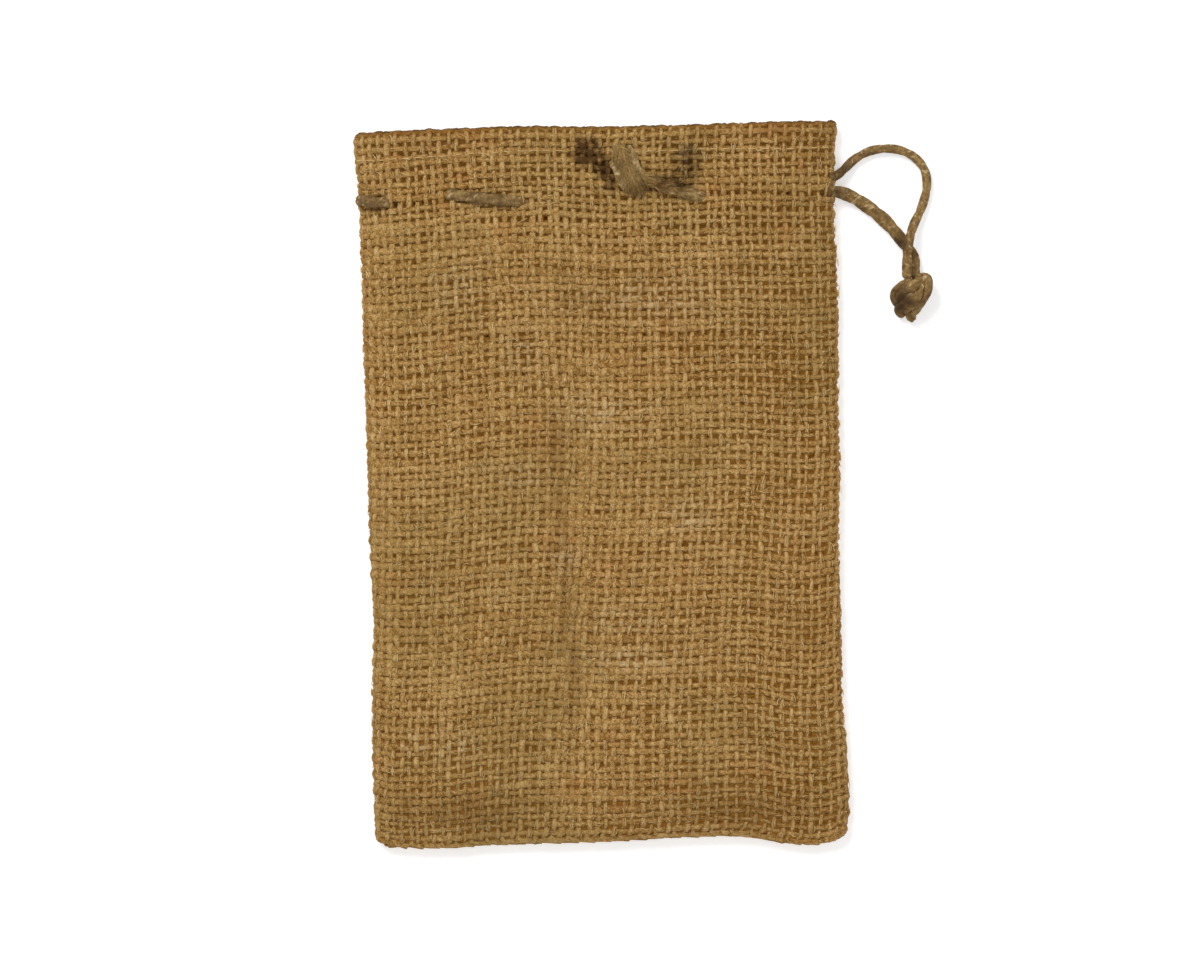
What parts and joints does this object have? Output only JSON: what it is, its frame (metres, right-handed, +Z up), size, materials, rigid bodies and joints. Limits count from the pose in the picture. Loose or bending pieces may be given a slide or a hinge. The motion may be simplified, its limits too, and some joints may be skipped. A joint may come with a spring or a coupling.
{
  "type": "burlap drawstring sack",
  "caption": "Small flat burlap sack lying on its back, hemmed mouth, with a thin cord laced through the hem and knotted in a loop at one side",
  "frame": {"origin": "on the surface the sack lies on, under the centre of the cloth's box", "axes": "+X to the side where the cord leaves, +Y from the bottom fold to the mouth, +Z up from the surface"},
  "size_m": [0.1229, 0.1544, 0.0125],
  "materials": {
    "burlap": "coarse plain-woven jute, matt",
    "cord": "braided waxed cord, slight sheen"
  },
  "bodies": {
    "root": {"burlap_sack_cloth": "burlap", "drawstring": "cord", "drawstring_knot": "cord"}
  },
  "joints": []
}
